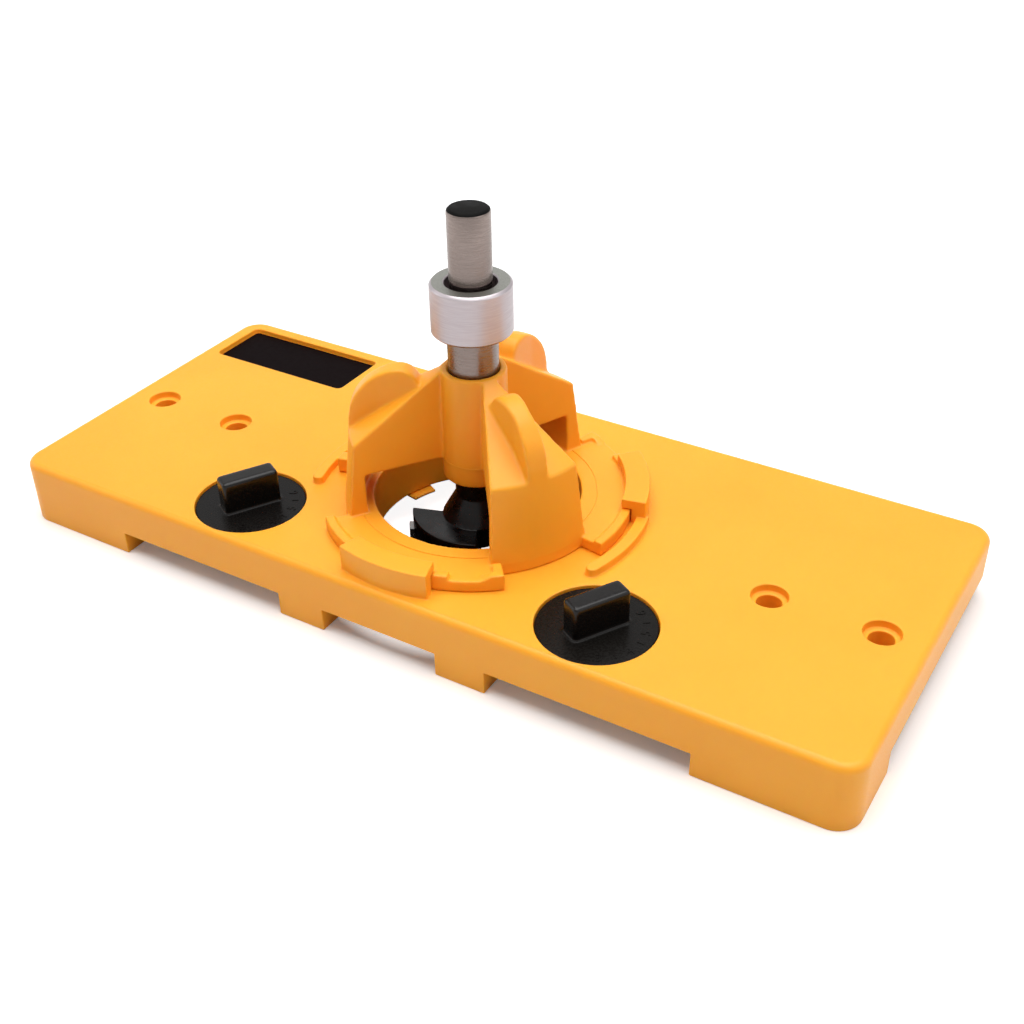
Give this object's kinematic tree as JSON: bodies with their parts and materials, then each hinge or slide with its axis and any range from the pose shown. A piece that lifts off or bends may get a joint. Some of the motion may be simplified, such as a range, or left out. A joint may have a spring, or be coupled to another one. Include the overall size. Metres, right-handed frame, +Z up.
{
  "type": "hinge cup drilling jig",
  "caption": "Flat moulded plate with a locking tripod that guides a hinge cup cutter with a depth stop, and two dials that set its distance from a door's edge.",
  "frame": {"origin": "centre of the bounding box's bottom face, in the plane of the feet's undersides", "axes": "+X along the plate, -Y towards its front edge with the dials and feet, +Z up along the boring axis"},
  "size_m": [0.228, 0.095, 0.093],
  "materials": {
    "orange_plastic": "moulded, fine satin",
    "black_plastic": "moulded, satin",
    "ground_steel": "ground round the axis",
    "black_steel": "black coating",
    "satin_steel": "satin turned",
    "black_screw_steel": "black oxide",
    "carbide": "ground carbide",
    "zinc_steel": "zinc plated"
  },
  "bodies": {
    "base": {"base_plate": "orange_plastic", "label_inlay": "black_plastic"},
    "guide": {"drill_guide": "orange_plastic"},
    "depth_stop": {"stop_collar": "satin_steel", "collar_set_screw": "black_screw_steel"},
    "bit": {"bit_shaft": "ground_steel", "bit_head": "black_steel", "cutter_tip_1": "carbide", "cutter_tip_2": "carbide", "spur_tip_1": "carbide", "spur_tip_2": "carbide"},
    "left_setting": {"left_dial": "black_plastic", "left_cam": "black_plastic", "left_screw": "zinc_steel", "left_washer": "zinc_steel", "left_spring_washer": "zinc_steel"},
    "right_setting": {"right_dial": "black_plastic", "right_cam": "black_plastic", "right_screw": "zinc_steel", "right_washer": "zinc_steel", "right_spring_washer": "zinc_steel"}
  },
  "joints": [
    {"name": "guide_lock", "type": "hinge", "parent": "base", "child": "guide", "pos_m": [0, -0.00295, 0.0172], "axis": [0, 0, 1], "range_deg": [0, 60]},
    {"name": "bit_plunge", "type": "slide", "parent": "guide", "child": "depth_stop", "axis": [0, 0, 1], "range_m": [-0.0093, 0.0064]},
    {"name": "bit_spin", "type": "hinge", "parent": "depth_stop", "child": "bit", "pos_m": [0, -0.00295, 0.0172], "axis": [0, 0, 1], "continuous": true},
    {"name": "left_dial_turn", "type": "hinge", "parent": "base", "child": "left_setting", "pos_m": [-0.04865, -0.0319, 0.0172], "axis": [0, 0, 1], "range_deg": [0, 180]},
    {"name": "right_dial_turn", "type": "hinge", "parent": "base", "child": "right_setting", "pos_m": [0.04865, -0.0319, 0.0172], "axis": [0, 0, 1], "range_deg": [0, 180]}
  ]
}
